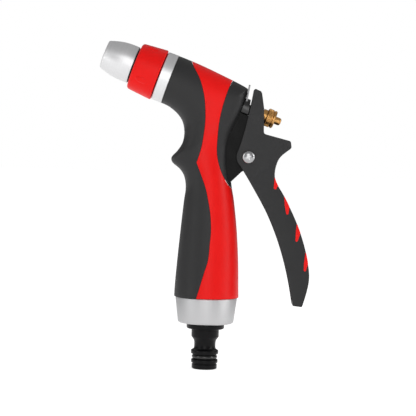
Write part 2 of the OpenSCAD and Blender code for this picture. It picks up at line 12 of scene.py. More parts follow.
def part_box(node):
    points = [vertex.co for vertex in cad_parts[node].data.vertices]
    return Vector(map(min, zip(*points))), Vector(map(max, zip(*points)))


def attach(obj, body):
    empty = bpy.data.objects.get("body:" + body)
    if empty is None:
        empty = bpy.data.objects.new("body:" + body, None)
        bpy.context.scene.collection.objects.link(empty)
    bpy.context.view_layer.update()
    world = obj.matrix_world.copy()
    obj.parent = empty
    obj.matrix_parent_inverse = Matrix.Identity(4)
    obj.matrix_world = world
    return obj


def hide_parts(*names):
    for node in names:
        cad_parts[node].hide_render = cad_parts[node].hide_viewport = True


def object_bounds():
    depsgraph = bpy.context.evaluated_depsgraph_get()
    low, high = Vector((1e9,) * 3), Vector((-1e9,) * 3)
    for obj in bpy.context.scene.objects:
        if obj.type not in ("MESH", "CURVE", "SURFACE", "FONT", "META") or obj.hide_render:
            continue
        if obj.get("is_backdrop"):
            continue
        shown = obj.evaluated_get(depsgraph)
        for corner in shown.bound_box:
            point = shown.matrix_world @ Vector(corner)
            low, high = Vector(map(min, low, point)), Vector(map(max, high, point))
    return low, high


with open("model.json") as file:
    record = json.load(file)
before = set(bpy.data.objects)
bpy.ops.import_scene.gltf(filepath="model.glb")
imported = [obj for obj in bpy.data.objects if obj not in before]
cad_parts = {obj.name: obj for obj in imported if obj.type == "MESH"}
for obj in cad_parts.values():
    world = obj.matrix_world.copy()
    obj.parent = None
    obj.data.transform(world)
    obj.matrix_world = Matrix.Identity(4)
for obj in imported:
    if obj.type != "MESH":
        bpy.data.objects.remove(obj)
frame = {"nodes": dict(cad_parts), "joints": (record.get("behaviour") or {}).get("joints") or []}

bl_info = {
    "name": "Pistol-Grip Spray Gun",
    "version": (1, 0, 0),
    "blender": (4, 5, 0),
    "location": "View3D > Sidebar > Spray Gun",
    "description": "Shapes and finishes a trigger spray gun round its packed frame",
    "category": "Object",
}

MM = 0.001
JOINTS = {j["name"]: j for j in frame["joints"]}
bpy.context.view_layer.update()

# The barrel's axis, from the adjusting nut's joint, and the trigger's pivot
BARREL_DIR = Vector(JOINTS["nut_turn"]["axis"]).normalized()
BARREL_UP = Vector((-BARREL_DIR.z, 0, BARREL_DIR.x))
PIVOT = Vector(JOINTS["trigger_pivot"]["pos_m"])
GRIP_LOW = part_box("grip_front")[0].z
NECK = PIVOT.z - 21 * MM
BARREL_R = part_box("front_band")[1].y - 0.1 * MM


def band_rear():
    """The point on the barrel's axis where the soft grip begins."""
    through = Vector(JOINTS["nut_turn"]["pos_m"])
    return through - 66 * MM * BARREL_DIR


BARREL_ZERO = band_rear()


def on_axis(s, h):
    """A point in the plane Y = 0, s along the barrel's axis and h above it, in millimetres."""
    return BARREL_ZERO + s * MM * BARREL_DIR + h * MM * BARREL_UP


def at_neck(x, z):
    """A point in the plane Y = 0, z above the neck, in millimetres."""
    return Vector((x * MM, 0, NECK + z * MM))


def at_handle(x, share):
    """A point in the plane Y = 0 at a share of the handle's height."""
    return Vector((x * MM, 0, GRIP_LOW + share * (NECK - GRIP_LOW)))


def on_trigger(x, z):
    """A point in the plane Y = 0 from the trigger's pivot, in millimetres."""
    return PIVOT + Vector((x * MM, 0, z * MM))


def blend_four(a, b, c, d, u):
    """A smooth step from b to c, with a and d as the neighbours."""
    return 0.5 * (2 * b + (c - a) * u + (2 * a - 5 * b + 4 * c - d) * u * u
                  + (3 * b - a - 3 * c + d) * u * u * u)


def smooth_line(points, steps):
    """A smooth open line through every point."""
    last = len(points) - 1
    line = []
    for i in range(last):
        near = points[max(i - 1, 0)], points[i], points[i + 1], points[min(i + 2, last)]
        line += [blend_four(*near, k / steps) for k in range(steps)]
    return line + [points[last]]


# ---------------------------------------------------------------------------
# Settings
# ---------------------------------------------------------------------------

def length(name, description, default):
    return bpy.props.FloatProperty(
        name=name, description=description, default=default, min=0, unit="LENGTH", precision=5)


def colour(name, description, default):
    return bpy.props.FloatVectorProperty(
        name=name, description=description, default=default, size=3, min=0, max=1,
        subtype="COLOR")


class GripSettings(bpy.types.PropertyGroup):
    seam: length("Seam", "Width of the seam between two soft mouldings", 0.16 * MM)
    edge: length("Edge", "Rounding of a soft moulding's edges", 0.3 * MM)
    half_width: length("Half width", "Half the handle's width at its middle", 16.4 * MM)
    black: colour("Black", "Colour of the black soft mouldings", (0.014, 0.014, 0.0145))
    red: colour("Red", "Colour of the red soft mouldings", (0.68, 0.004, 0.003))


class MetalSettings(bpy.types.PropertyGroup):
    aluminium: colour("Aluminium", "Colour of the brushed aluminium", (0.66, 0.66, 0.665))
    silver: colour("Silver", "Colour of the satin silver collar", (0.50, 0.50, 0.505))
    brass: colour("Brass", "Colour of the stem and its nut", (0.50, 0.27, 0.09))
    steel: colour("Steel", "Colour of the pivot screw", (0.36, 0.36, 0.365))
    plate: colour("Plate", "Colour of the thin steel plate", (0.16, 0.16, 0.163))


class TriggerSettings(bpy.types.PropertyGroup):
    width: length("Width", "Width over the trigger's cheeks",
                  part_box("trigger_lever")[1].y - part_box("trigger_lever")[0].y)
    rear_round: length("Rear rounding", "Rounding of the lever's rear edges", 5.6 * MM)
    edge: length("Edge", "Rounding of the trigger's other edges", 0.45 * MM)
    paint: colour("Paint", "Colour of the trigger's textured paint", (0.013, 0.013, 0.0135))


class StageSettings(bpy.types.PropertyGroup):
    floor: colour("Floor", "Colour of the floor", (0.93, 0.93, 0.93))
    distance: length("Camera distance", "Distance from the camera to the spray gun", 1.01)
    elevation: bpy.props.FloatProperty(
        name="Elevation", description="Camera's angle above the horizontal",
        default=math.radians(2.2), subtype="ANGLE")
    roll: bpy.props.FloatProperty(
        name="Roll", description="Lean of the spray gun in the picture",
        default=math.radians(1.75), subtype="ANGLE")


SETTINGS = (GripSettings, MetalSettings, TriggerSettings, StageSettings)


# ---------------------------------------------------------------------------
# Modelling helpers
# ---------------------------------------------------------------------------

def deselect():
    if bpy.context.mode != "OBJECT":
        bpy.ops.object.mode_set(mode="OBJECT")
    bpy.ops.object.select_all(action="DESELECT")


def pick(*objects):
    deselect()
    for item in objects:
        item.select_set(True)
    bpy.context.view_layer.objects.active = objects[0]


def named(name):
    piece = bpy.context.view_layer.objects.active
    piece.name = name
    piece.data.name = name
    return piece


def settle(piece):
    """Puts a piece's place into its mesh, so that its object sits at the origin."""
    pick(piece)
    bpy.ops.object.transform_apply(location=True, rotation=True, scale=True)
    return piece


def edit_all(piece):
    pick(piece)
    bpy.ops.object.mode_set(mode="EDIT")
    bpy.ops.mesh.select_all(action="SELECT")


def outward(piece):
    edit_all(piece)
    bpy.ops.mesh.remove_doubles(threshold=0.002 * MM)
    bpy.ops.mesh.normals_make_consistent(inside=False)
    bpy.ops.object.mode_set(mode="OBJECT")
    return piece


def smooth(piece, angle=35):
    pick(piece)
    bpy.ops.object.shade_smooth_by_angle(angle=math.radians(angle))
    return piece


def apply_modifier(piece, kind, **values):
    pick(piece)
    modifier = piece.modifiers.new(kind.title(), kind)
    for key, value in values.items():
        setattr(modifier, key, value)
    bpy.ops.object.modifier_apply(modifier=modifier.name)
    return piece


def cut(piece, tool, operation="DIFFERENCE", keep_tool=False):
    """Joins, cuts or crosses a piece with a tool, which is then removed."""
    apply_modifier(piece, "BOOLEAN", object=tool, operation=operation, solver="EXACT")
    if not keep_tool:
        bpy.data.objects.remove(tool)
    return piece


def copy_of(piece, name):
    pick(piece)
    bpy.ops.object.duplicate()
    return named(name)


def round_edges(piece, width, segments=3, angle=40):
    apply_modifier(piece, "BEVEL", width=width, segments=segments, limit_method="ANGLE",
                   angle_limit=math.radians(angle), use_clamp_overlap=True,
                   harden_normals=False)
    return piece


def flat_outline(name, points):
    """A filled face in the plane Y = 0 with its corners on the points."""
    deselect()
    bpy.ops.mesh.primitive_circle_add(vertices=len(points), radius=MM, fill_type="NGON")
    piece = named(name)
    for vertex, point in zip(piece.data.vertices, points):
        vertex.co = (point.x, 0, point.z)
    return piece


def prism(name, points, width, y=0):
    """An outline in the plane Y = 0, thickened to both sides of y."""
    piece = flat_outline(name, points)
    edit_all(piece)
    bpy.ops.transform.translate(value=(0, y - width / 2, 0))
    bpy.ops.mesh.extrude_region_move(TRANSFORM_OT_translate={"value": (0, width, 0)})
    bpy.ops.object.mode_set(mode="OBJECT")
    return outward(piece)


def turned(name, profile, sides=96):
    """A body turned about Z: rings at (radius, height) in millimetres, closed at the end."""
    deselect()
    radius, height = profile[0]
    bpy.ops.mesh.primitive_circle_add(
        vertices=sides, radius=radius * MM, fill_type="NOTHING", location=(0, 0, height * MM))
    piece = settle(named(name))
    edit_all(piece)
    for next_radius, next_height in list(profile[1:]) + [profile[0]]:
        bpy.ops.mesh.extrude_region_move(
            TRANSFORM_OT_translate={"value": (0, 0, (next_height - height) * MM)})
        grow = next_radius / radius
        bpy.ops.transform.resize(value=(grow, grow, 1), center_override=(0, 0, 0))
        radius, height = next_radius, next_height
    bpy.ops.object.mode_set(mode="OBJECT")
    return outward(piece)


def joined(pieces, name):
    """Makes one piece of several."""
    pick(*pieces)
    for attempt in range(3):
        if len(bpy.context.selected_objects) > 1:
            bpy.ops.object.join()
    if len(bpy.context.selected_objects) > 1:
        raise RuntimeError("the parts of " + name + " could not be joined")
    return named(name)


def onto_barrel(piece):
    """Lays a body turned about Z along the barrel, its height becoming the distance s."""
    turn = BARREL_DIR.to_track_quat("Z", "Y").to_matrix().to_4x4()
    piece.matrix_world = Matrix.Translation(BARREL_ZERO) @ turn
    return settle(piece)


def arc(centre_r, centre_z, radius, start, end, steps=6):
    """Points of a round corner, for a turned profile."""
    angles = [math.radians(start + (end - start) * k / steps) for k in range(steps + 1)]
    return [(centre_r + radius * math.cos(a), centre_z + radius * math.sin(a)) for a in angles]


def finish_piece(piece, body, slot_name, material, *nodes):
    """Gives a piece its material and the body that it rides on, and hides the nodes it stands for.
    """
    piece.data.materials.clear()
    piece.data.materials.append(material)
    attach(piece, body)
    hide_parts(*nodes)
    return piece


# ---------------------------------------------------------------------------
# Materials
# ---------------------------------------------------------------------------

def new_group(name, inputs, outputs):
    tree = bpy.data.node_groups.new(name, "ShaderNodeTree")
    for label, default in inputs:
        kind = "NodeSocketVector" if default is None else "NodeSocketFloat"
        socket = tree.interface.new_socket(label, in_out="INPUT", socket_type=kind)
        if default is not None:
            socket.default_value = default
    for label, kind in outputs:
        tree.interface.new_socket(label, in_out="OUTPUT", socket_type=kind)
    return tree, tree.nodes.new("NodeGroupInput"), tree.nodes.new("NodeGroupOutput")


def noise(tree, vector, scale, detail=3.0, roughness=0.55):
    node = tree.nodes.new("ShaderNodeTexNoise")
    node.inputs["Detail"].default_value = detail
    node.inputs["Roughness"].default_value = roughness
    tree.links.new(vector, node.inputs["Vector"])
    if isinstance(scale, (int, float)):
        node.inputs["Scale"].default_value = scale
    else:
        tree.links.new(scale, node.inputs["Scale"])
    return node.outputs["Fac"]


def ranged(tree, value, low, high):
    """Maps a 0 to 1 value into a range, whose ends may be sockets."""
    node = tree.nodes.new("ShaderNodeMapRange")
    node.inputs["From Min"].default_value = 0.3
    node.inputs["From Max"].default_value = 0.7
    tree.links.new(value, node.inputs["Value"])
    for label, end in (("To Min", low), ("To Max", high)):
        if isinstance(end, (int, float)):
            node.inputs[label].default_value = end
        else:
            tree.links.new(end, node.inputs[label])
    return node.outputs["Result"]


def bump(tree, height, strength, distance=0.1 * MM):
    node = tree.nodes.new("ShaderNodeBump")
    node.inputs["Distance"].default_value = distance
    tree.links.new(height, node.inputs["Height"])
    if isinstance(strength, (int, float)):
        node.inputs["Strength"].default_value = strength
    else:
        tree.links.new(strength, node.inputs["Strength"])
    return node.outputs["Normal"]


def soft_grain_group():
    """Fine moulded grain with broad smudges: for rubber, plastic and textured paint."""
    tree, given, made = new_group(
        "Moulded Grain",
        [("Vector", None), ("Grain Scale", 2600.0), ("Grain Strength", 0.25),
         ("Roughness Low", 0.45), ("Roughness High", 0.6)],
        [("Shade", "NodeSocketFloat"), ("Roughness", "NodeSocketFloat"),
         ("Normal", "NodeSocketVector")])
    grain = noise(tree, given.outputs["Vector"], given.outputs["Grain Scale"], 2.0)
    smudge = noise(tree, given.outputs["Vector"], 90.0, 4.0)
    tree.links.new(
        ranged(tree, smudge, given.outputs["Roughness Low"], given.outputs["Roughness High"]),
        made.inputs["Roughness"])
    tree.links.new(ranged(tree, smudge, 0.0, 1.0), made.inputs["Shade"])
    tree.links.new(bump(tree, grain, given.outputs["Grain Strength"]), made.inputs["Normal"])
    return tree


def brushed_group():
    """Fine lines turned round an axis, which is the X of the vector given."""
    tree, given, made = new_group(
        "Brushed Lines",
        [("Vector", None), ("Line Strength", 0.3), ("Roughness Low", 0.25),
         ("Roughness High", 0.42)],
        [("Shade", "NodeSocketFloat"), ("Roughness", "NodeSocketFloat"),
         ("Normal", "NodeSocketVector")])
    stretch = tree.nodes.new("ShaderNodeMapping")
    stretch.inputs["Scale"].default_value = (7000, 60, 60)
    tree.links.new(given.outputs["Vector"], stretch.inputs["Vector"])
    lines = noise(tree, stretch.outputs["Vector"], 1.0, 4.0, 0.7)
    tree.links.new(
        ranged(tree, lines, given.outputs["Roughness Low"], given.outputs["Roughness High"]),
        made.inputs["Roughness"])
    tree.links.new(ranged(tree, lines, 0.0, 1.0), made.inputs["Shade"])
    tree.links.new(bump(tree, lines, given.outputs["Line Strength"], 0.03 * MM),
                   made.inputs["Normal"])
    return tree


GROUPS = {}


def group(name):
    """The node group of that name, built once."""
    makers = {"Moulded Grain": soft_grain_group, "Brushed Lines": brushed_group}
    if name not in GROUPS:
        GROUPS[name] = makers[name]()
    return GROUPS[name]


def object_vector(tree, turn_y=0.0, offset=(0, 0, 0)):
    """Object coordinates about a point, turned about Y."""
    source = tree.nodes.new("ShaderNodeTexCoord").outputs["Object"]
    centre = tree.nodes.new("ShaderNodeMapping")
    centre.vector_type = "POINT"
    centre.inputs["Location"].default_value = [-v for v in offset]
    tree.links.new(source, centre.inputs["Vector"])
    if not turn_y:
        return centre.outputs["Vector"]
    turn = tree.nodes.new("ShaderNodeMapping")
    turn.inputs["Rotation"].default_value = (0, turn_y, 0)
    tree.links.new(centre.outputs["Vector"], turn.inputs["Vector"])
    return turn.outputs["Vector"]


def tinted(tree, shade, base, low, high):
    """The base colour, darker where shade is 0 and lighter where it is 1."""
    mix = tree.nodes.new("ShaderNodeMix")
    mix.data_type = "RGBA"
    mix.inputs["A"].default_value = [min(c * low, 1) for c in base] + [1]
    mix.inputs["B"].default_value = [min(c * high, 1) for c in base] + [1]
    tree.links.new(shade, mix.inputs["Factor"])
    return mix.outputs["Result"]


def material_with(name, base, pattern, vector_of, group_values, tint, surface):
    """A Principled material fed by one of the shared pattern groups."""
    if name in bpy.data.materials:
        return bpy.data.materials[name]
    material = bpy.data.materials.new(name)
    material.use_nodes = True
    material.diffuse_color = [*base, 1]
    tree = material.node_tree
    shader = tree.nodes["Principled BSDF"]
    node = tree.nodes.new("ShaderNodeGroup")
    node.node_tree = group(pattern)
    tree.links.new(vector_of(tree), node.inputs["Vector"])
    for label, value in group_values.items():
        node.inputs[label].default_value = value
    tree.links.new(tinted(tree, node.outputs["Shade"], base, *tint), shader.inputs["Base Color"])
    tree.links.new(node.outputs["Roughness"], shader.inputs["Roughness"])
    tree.links.new(node.outputs["Normal"], shader.inputs["Normal"])
    for label, value in surface.items():
        shader.inputs[label].default_value = value
    return material


def moulded(name, base, grain=0.25, scale=2600.0, rough=(0.45, 0.6), tint=(0.94, 1.06), gloss=0.5):
    values = {"Grain Scale": scale, "Grain Strength": grain,
              "Roughness Low": rough[0], "Roughness High": rough[1]}
    return material_with(name, base, "Moulded Grain", object_vector, values, tint,
                         {"Specular IOR Level": gloss})


def brushed(name, base, rough=(0.36, 0.5), lines=0.3, tint=(0.9, 1.08), along_barrel=True):
    turn = math.atan2(-BARREL_DIR.z, BARREL_DIR.x) if along_barrel else math.pi / 2
    values = {"Line Strength": lines, "Roughness Low": rough[0], "Roughness High": rough[1]}
    centre = tuple(BARREL_ZERO) if along_barrel else (0, 0, 0)
    return material_with(
        name, base, "Brushed Lines", lambda tree: object_vector(tree, -turn, centre), values,
        tint, {"Metallic": 1.0})


def grip_black():
    return moulded("Black Soft Grip", tuple(bpy.context.scene.gun_grip.black),
                   grain=0.3, rough=(0.46, 0.58), gloss=0.3)


def grip_red():
    return moulded("Red Soft Grip", tuple(bpy.context.scene.gun_grip.red),
                   grain=0.16, rough=(0.36, 0.46), tint=(0.96, 1.03), gloss=0.15)


def gloss_black():
    return moulded("Gloss Black Paint", (0.003, 0.003, 0.003), grain=0.06, rough=(0.34, 0.46),
                   gloss=0.1)


def trigger_paint():
    return moulded("Textured Black Paint", tuple(bpy.context.scene.gun_trigger.paint),
                   grain=0.55, scale=1700.0, rough=(0.46, 0.58), gloss=0.3)


def fitting_plastic():
    return moulded("Black Fitting Plastic", (0.003, 0.003, 0.0034), grain=0.08,
                   rough=(0.28, 0.4), gloss=0.12)


def seal_rubber():
    return moulded("Seal Rubber", (0.010, 0.010, 0.010), grain=0.05, rough=(0.2, 0.3))


def nylon():
    return moulded("Natural Nylon", (0.72, 0.70, 0.62), grain=0.08, rough=(0.35, 0.45))


def aluminium():
    return brushed("Brushed Aluminium", tuple(bpy.context.scene.gun_metal.aluminium))


def satin_silver():
    return brushed("Satin Silver", tuple(bpy.context.scene.gun_metal.silver),
                   rough=(0.48, 0.58), lines=0.06, tint=(0.98, 1.02), along_barrel=False)


def brass():
    return brushed("Machined Brass", tuple(bpy.context.scene.gun_metal.brass),
                   rough=(0.24, 0.42), lines=0.35, tint=(0.75, 1.15))


def polished_steel():
    return brushed("Polished Steel", tuple(bpy.context.scene.gun_metal.steel),
                   rough=(0.2, 0.3), lines=0.05, tint=(0.96, 1.03))


def spring_steel():
    return brushed("Spring Steel", tuple(bpy.context.scene.gun_metal.plate),
                   rough=(0.28, 0.4), lines=0.2, tint=(0.9, 1.08))


# ---------------------------------------------------------------------------
# Soft grips
# ---------------------------------------------------------------------------

def grip_slices():
    """Slices of the soft grip: front point, rear point, half width, squareness."""
    r = BARREL_R / MM
    half = bpy.context.scene.gun_grip.half_width / MM
    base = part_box("grip_red")[1].y / MM
    rear = 48
    return [
        (on_axis(0, -r), on_axis(0, r), r, 2),
        (on_axis(3.4, -r - 0.15), on_axis(4.6, r - 0.02), r - 0.08, 2),
        (on_axis(6.6, -r - 0.75), on_axis(9.5, r - 0.12), r - 0.2, 2),
        (at_neck(-21.6, 46.9), on_axis(18, r - 0.5), r - 0.8, 2),
        (at_neck(-18.6, 42.9), on_axis(28, r - 1.3), r - 1.6, 2.1),
        (at_neck(-17.3, 39.2), on_axis(38, r - 2.2), r - 2.3, 2.4),
        (at_neck(-16.9, 36.4), on_axis(rear - 1.8, r - 3.3), r - 2.7, 2.8),
        (at_neck(-16.8, 35), on_axis(rear - 0.5, r - 4.6), r - 2.8, 3),
        (at_neck(-16.9, 33), on_axis(rear + 0.4, r - 9), r - 2.9, 3),
        (at_neck(-17.2, 30.8), on_axis(rear + 0.9, r - 14.5), r - 3, 3),
        (at_neck(-18.2, 27.7), on_axis(rear + 0.5, r - 20.5), r - 3, 3),
        (at_neck(-20.8, 23.6), on_axis(rear, r - 27), r - 2.9, 2.7),
        (at_neck(-24.3, 19.6), at_neck(13.4, 36), r - 2.7, 2.4),
        (at_neck(-23.6, 16.2), at_neck(12.2, 29.5), r - 2.6, 2.1),
        (at_neck(-19.2, 12.6), at_neck(12, 22), r - 2.5, 2),
        (at_neck(-16.4, 8.6), at_neck(12, 14), r - 2.2, 2),
        (at_neck(-15.2, 4), at_neck(13.2, 6.2), r - 1.8, 2),
        (at_neck(-15, -1), at_neck(14.2, 0), r - 1.4, 2),
        (at_handle(-15.8, 0.89), at_handle(15.6, 0.89), half - 1.6, 2),
        (at_handle(-17.4, 0.62), at_handle(17.9, 0.62), half, 2),
        (at_handle(-19, 0.32), at_handle(19.4, 0.32), half + 0.45 * (base - half), 2),
        (at_handle(-base + 0.3, 0.12), at_handle(base - 0.3, 0.12),
         half + 0.85 * (base - half), 2),
        (at_handle(-base, 0), at_handle(base, 0), base, 2),
    ]


def slice_ring(index, front, rear, half_width, square, sides):
    """One closed ring of the grip's form, as a circle shaped to the slice."""
    bpy.ops.mesh.primitive_circle_add(vertices=sides, radius=MM, fill_type="NOTHING")
    ring = named(f"slice_{index}")
    middle, reach = (front + rear) / 2, (rear - front) / 2
    for k, vertex in enumerate(ring.data.vertices):
        angle = math.tau * k / sides
        along, across = math.cos(angle), math.sin(angle)
        along = math.copysign(abs(along) ** (2 / square), along)
        across = math.copysign(abs(across) ** (2 / square), across)
        vertex.co = middle + reach * along + Vector((0, half_width * MM * across, 0))
    return ring


def grip_form(sides=64, steps=3):
    """The whole soft grip, before it is parted into its three mouldings."""
    rows = grip_slices()
    columns = [smooth_line([row[i] for row in rows], steps) for i in range(4)]
    rings = []
    for index, row in enumerate(zip(*columns)):
        deselect()
        rings.append(slice_ring(index, *row, sides))
    pick(*rings)
    bpy.ops.object.join()
    form = named("grip_form")
    edit_all(form)
    bpy.ops.mesh.bridge_edge_loops()
    bpy.ops.mesh.select_all(action="DESELECT")
    bpy.ops.mesh.select_non_manifold()
    bpy.ops.mesh.edge_face_add()
    bpy.ops.object.mode_set(mode="OBJECT")
    return outward(form)


def stripe_edges():
    """The red stripe's front and rear edges in the side view, running downwards."""
    r = BARREL_R / MM
    front = smooth_line([
        on_axis(5, r + 8), on_axis(8.5, r - 0.5), on_axis(17, 6.8), on_axis(21.7, 0.6),
        on_axis(25.4, -5.9), at_neck(-3.9, 42.9), at_neck(-4.9, 32), at_neck(-6.2, 24.6),
        at_neck(-8.6, 16.7)], 8)
    front += smooth_line([
        at_neck(-8.2, 15.7), at_neck(-4.2, 5.9), at_neck(-1.8, -1.4), at_handle(0.8, 0.79),
        at_handle(1.6, 0.63), at_handle(1.2, 0.52), at_handle(0.4, 0.36),
        at_handle(-1.8, 0.24), at_handle(-6.3, 0), at_handle(-8, -0.08)], 8)
    rear = smooth_line([
        on_axis(37.5, r + 8), on_axis(36.4, r - 2.1), on_axis(35.9, 7.5), on_axis(36.2, -1.7),
        at_neck(5.2, 45.3), at_neck(4.2, 36.5), at_neck(3.8, 24.8), at_neck(4.7, 18.3),
        at_neck(6.6, 12.2), at_neck(9.4, 6.6), at_neck(13.5, 1.4), at_neck(24, -5)], 8)
    return front, rear


def shifted(line, amount):
    """A line in the plane Y = 0, moved sideways, rearwards where the amount is positive."""
    moved = []
    for k, point in enumerate(line):
        along = line[min(k + 1, len(line) - 1)] - line[max(k - 1, 0)]
        along.normalize()
        moved.append(point + amount * Vector((-along.z, 0, along.x)))
    return moved


def core_rod(name, low, high):
    """A thin rod up the axis, which clears what a turned cutter leaves at its middle."""
    deselect()
    bpy.ops.mesh.primitive_cylinder_add(
        vertices=24, radius=MM, depth=(high - low) * MM, location=(0, 0, (low + high) / 2 * MM))
    return settle(named(name))


def hollow(form):
    """Takes out the room for the body's tubes, its lug, the gland and the steel plate."""
    foot = GRIP_LOW / MM
    neck = NECK / MM
    tools = [
        core_rod("handle_core", foot - 2, neck + 52),
        onto_barrel(core_rod("barrel_core", -1, 60)),
        turned("handle_room", [
            (13.2, foot - 2), (13.2, foot - 0.15), (16.35, foot - 0.15), (13.2, foot + 40),
            (9, neck + 2), (9, neck + 52.2), (0.2, neck + 52.2), (0.2, foot - 2)]),
        onto_barrel(turned("barrel_room", [
            (11.4, -1), (11.4, 24), (9.6, 38), (9.6, 46.2), (8.2, 46.2), (8.2, 60), (0.2, 60),
            (0.2, -1)])),
        prism("lug_room", [
            at_neck(2, 8.5), at_neck(13.2, 5.2), at_neck(40, 20), at_neck(40, 40),
            on_axis(60, -3.4), on_axis(30, -3.4)], 13.5 * MM),
        prism("plate_room", [
            on_axis(49.74, -2.4), on_axis(53, -2.4), on_axis(53, 16), on_axis(46.4, 16)],
            9.3 * MM),
    ]
    for tool in tools:
        cut(form, tool)
    return form


class SPRAYGUN_OT_soft_grips(bpy.types.Operator):
    """Shape the three soft mouldings of the handle"""
    bl_idname = "spraygun.soft_grips"
    bl_label = "Soft Grips"

    def execute(self, context):
        grip = context.scene.gun_grip
        form = hollow(grip_form())
        front, rear = stripe_edges()
        half_seam = grip.seam / 2
        far = 70 * MM
        low = GRIP_LOW - 6 * MM
        regions = {
            "grip_front": shifted(front, -half_seam) + [
                Vector((-far, 0, low)), Vector((-far, 0, low + 4 * far))],
            "grip_red": shifted(front, half_seam) + [
                Vector((far, 0, low))] + shifted(rear, -half_seam)[::-1],
            "grip_rear": shifted(rear, half_seam) + [
                Vector((far, 0, NECK - 5 * MM)), Vector((far, 0, low + 4 * far))],
        }
        for name, outline in regions.items():
            piece = copy_of(form, name + "_soft")
            cut(piece, prism("region", outline, 90 * MM), "INTERSECT")
            outward(piece)
            round_edges(piece, grip.edge, 3, 50)
            smooth(piece, 40)
            red = name == "grip_red"
            finish_piece(piece, "root", "red_grip" if red else "black_grip",
                         grip_red() if red else grip_black(), name)
        bpy.data.objects.remove(form)
        return {"FINISHED"}


# ---------------------------------------------------------------------------
# Trigger
# ---------------------------------------------------------------------------

def round_points(centre, radius, start, end, steps):
    """Points on a circle in the plane Y = 0, angles in degrees from +X towards +Z."""
    angles = [math.radians(start + (end - start) * k / steps) for k in range(steps + 1)]
    return [centre + radius * Vector((math.cos(a), 0, math.sin(a))) for a in angles]


def trigger_outline():
    """The trigger from the side: front edge upwards, arm, spur, rear edge downwards."""
    front = smooth_line([on_trigger(*p) for p in (
        (30.4, -91.5), (27.9, -78.4), (24.1, -63.6), (19, -48.8), (12.4, -34.1),
        (3.9, -19.4), (-2.8, -8.6))], 5)
    cheek = round_points(PIVOT, 7.3 * MM, 228, 164, 6)
    arm = [on_trigger(*p) for p in (
        (-4.7, 8.8), (-2.2, 18.4), (1.4, 35.7), (2.4, 41.9), (3.2, 42.3), (6.5, 40.9),
        (7.2, 39.6), (8.7, 30.5), (9, 16), (9.4, 14.9), (10.4, 14.4))]
    spur = [on_trigger(*p) for p in (
        (24.4, 11), (25.4, 10.7), (26, 9.9), (26.4, 7), (26, 6))]
    rear = smooth_line([on_trigger(*p) for p in (
        (25.4, 5.5), (19.9, 0.8), (17.4, -4.4), (16.6, -11), (18.3, -16.2), (23, -23.8),
        (30.5, -38.5), (36.1, -53.3), (39.4, -67.5), (39.7, -77.5), (36.6, -90.4),
        (35.4, -92))], 5)
    return front, cheek + arm + spur, rear


def bevel_rear_edges(piece, width):
    """Rounds the long edges on the lever's rear side, from under the spur to the tip."""
    rear = trigger_outline()[2]
    along = rear[6:-4]
    edit_all(piece)
    bpy.ops.mesh.select_all(action="DESELECT")
    bpy.ops.mesh.select_mode(type="EDGE")
    bpy.ops.object.mode_set(mode="OBJECT")
    mesh = piece.data

    def on_rear(index):
        point = mesh.vertices[index].co
        return any((point.x - p.x) ** 2 + (point.z - p.z) ** 2 < (0.05 * MM) ** 2 for p in along)

    for edge in mesh.edges:
        a, b = edge.vertices
        level = abs(mesh.vertices[a].co.y - mesh.vertices[b].co.y) < 0.01 * MM
        edge.select = level and on_rear(a) and on_rear(b)
    bpy.ops.object.mode_set(mode="EDIT")
    bpy.ops.mesh.bevel(offset=width, offset_type="OFFSET", segments=10, profile=0.36,
                       affect="EDGES", clamp_overlap=True)
    bpy.ops.object.mode_set(mode="OBJECT")
    return piece


def trigger_block():
    """The trigger's outer form, solid, with its edges rounded."""
    settings = bpy.context.scene.gun_trigger
    front, middle, rear = trigger_outline()
    block = prism("trigger_block", front + middle + rear, settings.width)
    bevel_rear_edges(block, settings.rear_round)
    round_edges(block, settings.edge, 3, 50)
    return outward(block)


def box_on_barrel(name, low, high):
    """A box between two corners given as (s, y, h) in millimetres."""
    size = [b - a for a, b in zip(low, high)]
    middle = [(a + b) / 2 for a, b in zip(low, high)]
    deselect()
    bpy.ops.mesh.primitive_cube_add(size=MM)
    piece = named(name)
    turn = Matrix((BARREL_DIR, (0, 1, 0), BARREL_UP)).transposed().to_4x4()
    place = on_axis(middle[0], middle[2]) + Vector((0, middle[1] * MM, 0))
    piece.matrix_world = Matrix.Translation(place) @ turn @ Matrix.Diagonal((*size, 1))
    return settle(piece)


def rod_across(name, centre, radius, width, sides=64):
    """A rod along Y."""
    deselect()
    bpy.ops.mesh.primitive_cylinder_add(
        vertices=sides, radius=radius, depth=width, location=centre,
        rotation=(math.pi / 2, 0, 0))
    return settle(named(name))


